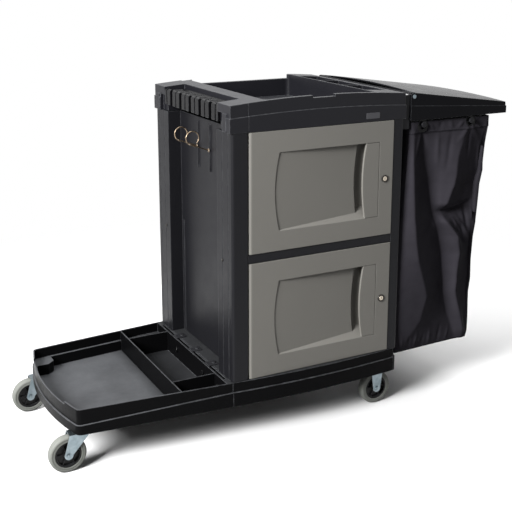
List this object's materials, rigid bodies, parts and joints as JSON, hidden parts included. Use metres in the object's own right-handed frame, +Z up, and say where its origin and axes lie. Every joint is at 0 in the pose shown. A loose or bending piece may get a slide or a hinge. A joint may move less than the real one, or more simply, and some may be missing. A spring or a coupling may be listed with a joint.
{
  "type": "janitor cart",
  "caption": "Wheeled cleaning cart with a low front deck, a two-door cabinet under a tool tray, a tool comb, and a hanging bag under a hinged lid.",
  "frame": {"origin": "on the floor, at the centre of the cart's footprint box", "axes": "+X from the deck to the bag, +Y from the doors to the back, +Z up"},
  "size_m": [1.477, 0.576, 0.9899],
  "materials": {
    "plastic": "fine satin grain",
    "door_plastic": "fine satin grain",
    "bag_fabric": "glossy coated weave",
    "tread": "matte",
    "nickel": "polished",
    "zinc": "zinc plated"
  },
  "bodies": {
    "cart": {"base_pan": "plastic", "front_deck": "plastic", "compartment_walls": "plastic", "deck_clips": "plastic", "deck_bolts": "zinc", "left_end_panel": "plastic", "right_end_panel": "plastic", "back_panel": "plastic", "panel_screws": "zinc", "middle_shelf": "plastic", "top_tray": "plastic", "tool_comb": "plastic", "near_wire_hook": "nickel", "far_wire_hook": "nickel", "bag_frame": "plastic", "frame_screws": "zinc", "trash_bag": "bag_fabric", "bag_eyelets": "plastic", "near_caster_stem": "zinc", "far_caster_stem": "zinc", "near_rear_bracket": "zinc", "near_rear_axle": "zinc", "far_rear_bracket": "zinc", "far_rear_axle": "zinc", "bracket_bolts": "zinc"},
    "upper_door": {"upper_door": "door_plastic", "upper_hinge_pins": "zinc", "upper_lock_body": "nickel"},
    "upper_lock": {"upper_lock_plug": "nickel", "upper_lock_cam": "zinc"},
    "lower_door": {"lower_door": "door_plastic", "lower_hinge_pins": "zinc", "lower_lock_body": "nickel"},
    "lower_lock": {"lower_lock_plug": "nickel", "lower_lock_cam": "zinc"},
    "bag_lid": {"bag_lid": "plastic", "lid_rivets": "zinc"},
    "near_caster": {"near_caster_fork": "zinc", "near_caster_race": "zinc", "near_caster_axle": "zinc"},
    "near_caster_wheel": {"near_caster_hub": "plastic", "near_caster_tyre": "tread"},
    "far_caster": {"far_caster_fork": "zinc", "far_caster_race": "zinc", "far_caster_axle": "zinc"},
    "far_caster_wheel": {"far_caster_hub": "plastic", "far_caster_tyre": "tread"},
    "near_rear_wheel": {"near_rear_hub": "plastic", "near_rear_tyre": "tread"},
    "far_rear_wheel": {"far_rear_hub": "plastic", "far_rear_tyre": "tread"}
  },
  "joints": [
    {"name": "upper_door_hinge", "type": "hinge", "parent": "cart", "child": "upper_door", "pos_m": [-0.158, -0.2625, 0.72875], "axis": [0, 0, -1], "range_deg": [0, 100]},
    {"name": "upper_lock_turn", "type": "hinge", "parent": "upper_door", "child": "upper_lock", "pos_m": [0.281, -0.2725, 0.72875], "axis": [0, -1, 0], "range_deg": [0, 90]},
    {"name": "lower_door_hinge", "type": "hinge", "parent": "cart", "child": "lower_door", "pos_m": [-0.158, -0.2625, 0.35725], "axis": [0, 0, -1], "range_deg": [0, 100]},
    {"name": "lower_lock_turn", "type": "hinge", "parent": "lower_door", "child": "lower_lock", "pos_m": [0.281, -0.2725, 0.35725], "axis": [0, -1, 0], "range_deg": [0, 90]},
    {"name": "bag_lid_hinge", "type": "hinge", "parent": "cart", "child": "bag_lid", "pos_m": [0.3835, 0, 0.964], "axis": [0, -1, 0], "range_deg": [0, 95]},
    {"name": "near_caster_swivel", "type": "hinge", "parent": "cart", "child": "near_caster", "pos_m": [-0.6415, -0.202, 0.108], "axis": [0, 0, 1], "continuous": true},
    {"name": "near_caster_roll", "type": "hinge", "parent": "near_caster", "child": "near_caster_wheel", "pos_m": [-0.6865, -0.202, 0.052], "axis": [0, 1, 0], "continuous": true},
    {"name": "far_caster_swivel", "type": "hinge", "parent": "cart", "child": "far_caster", "pos_m": [-0.6415, 0.202, 0.108], "axis": [0, 0, 1], "continuous": true},
    {"name": "far_caster_roll", "type": "hinge", "parent": "far_caster", "child": "far_caster_wheel", "pos_m": [-0.6865, 0.202, 0.052], "axis": [0, 1, 0], "continuous": true},
    {"name": "near_rear_roll", "type": "hinge", "parent": "cart", "child": "near_rear_wheel", "pos_m": [0.2895, -0.236, 0.052], "axis": [0, 1, 0], "continuous": true},
    {"name": "far_rear_roll", "type": "hinge", "parent": "cart", "child": "far_rear_wheel", "pos_m": [0.2895, 0.236, 0.052], "axis": [0, 1, 0], "continuous": true}
  ]
}
